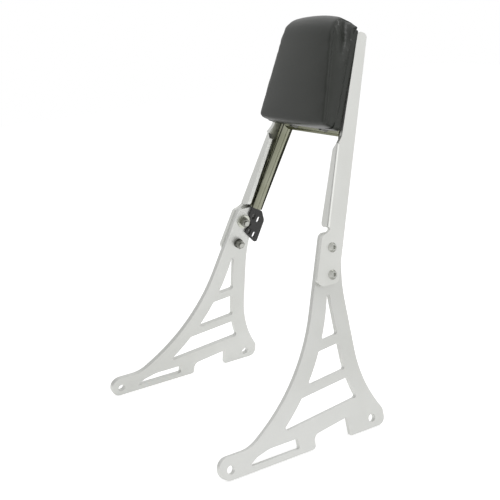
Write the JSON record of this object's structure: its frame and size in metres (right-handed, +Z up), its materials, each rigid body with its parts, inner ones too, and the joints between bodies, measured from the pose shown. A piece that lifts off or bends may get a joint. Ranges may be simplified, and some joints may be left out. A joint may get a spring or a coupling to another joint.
{
  "type": "motorcycle sissy bar with backrest pad",
  "caption": "Bolt-on motorcycle backrest bar: window-cut side plates, formed uprights, tube hoop with cross bar and a padded backrest.",
  "frame": {"origin": "on the ground plane under the middle of the part, halfway between the plates", "axes": "+X to the right-hand plate across the motorcycle, +Y to the rear of the motorcycle, +Z up"},
  "size_m": [0.2848, 0.286, 0.4429],
  "materials": {
    "plate_steel": "satin",
    "tube_chrome": "polished",
    "fastener_steel": "satin",
    "black_steel": "satin",
    "pad_vinyl": "soft sheen",
    "pad_board": "matt"
  },
  "bodies": {
    "root": {"left_side_plate": "plate_steel", "right_side_plate": "plate_steel", "left_upright": "plate_steel", "right_upright": "plate_steel", "hoop_tube": "tube_chrome", "cross_bar": "tube_chrome", "left_slotted_bracket": "black_steel", "right_tube_tab": "black_steel", "pad_board": "pad_board", "pad_cushion": "pad_vinyl", "pad_spacers": "fastener_steel", "pad_bolts": "fastener_steel", "pad_bolt_washers": "fastener_steel", "left_neck_bolts": "fastener_steel", "right_neck_bolts": "fastener_steel", "left_wide_washer": "fastener_steel", "right_wide_washer": "fastener_steel", "left_plain_washer": "fastener_steel", "right_plain_washer": "fastener_steel", "left_neck_nuts": "fastener_steel", "right_neck_nuts": "fastener_steel"}
  },
  "joints": []
}
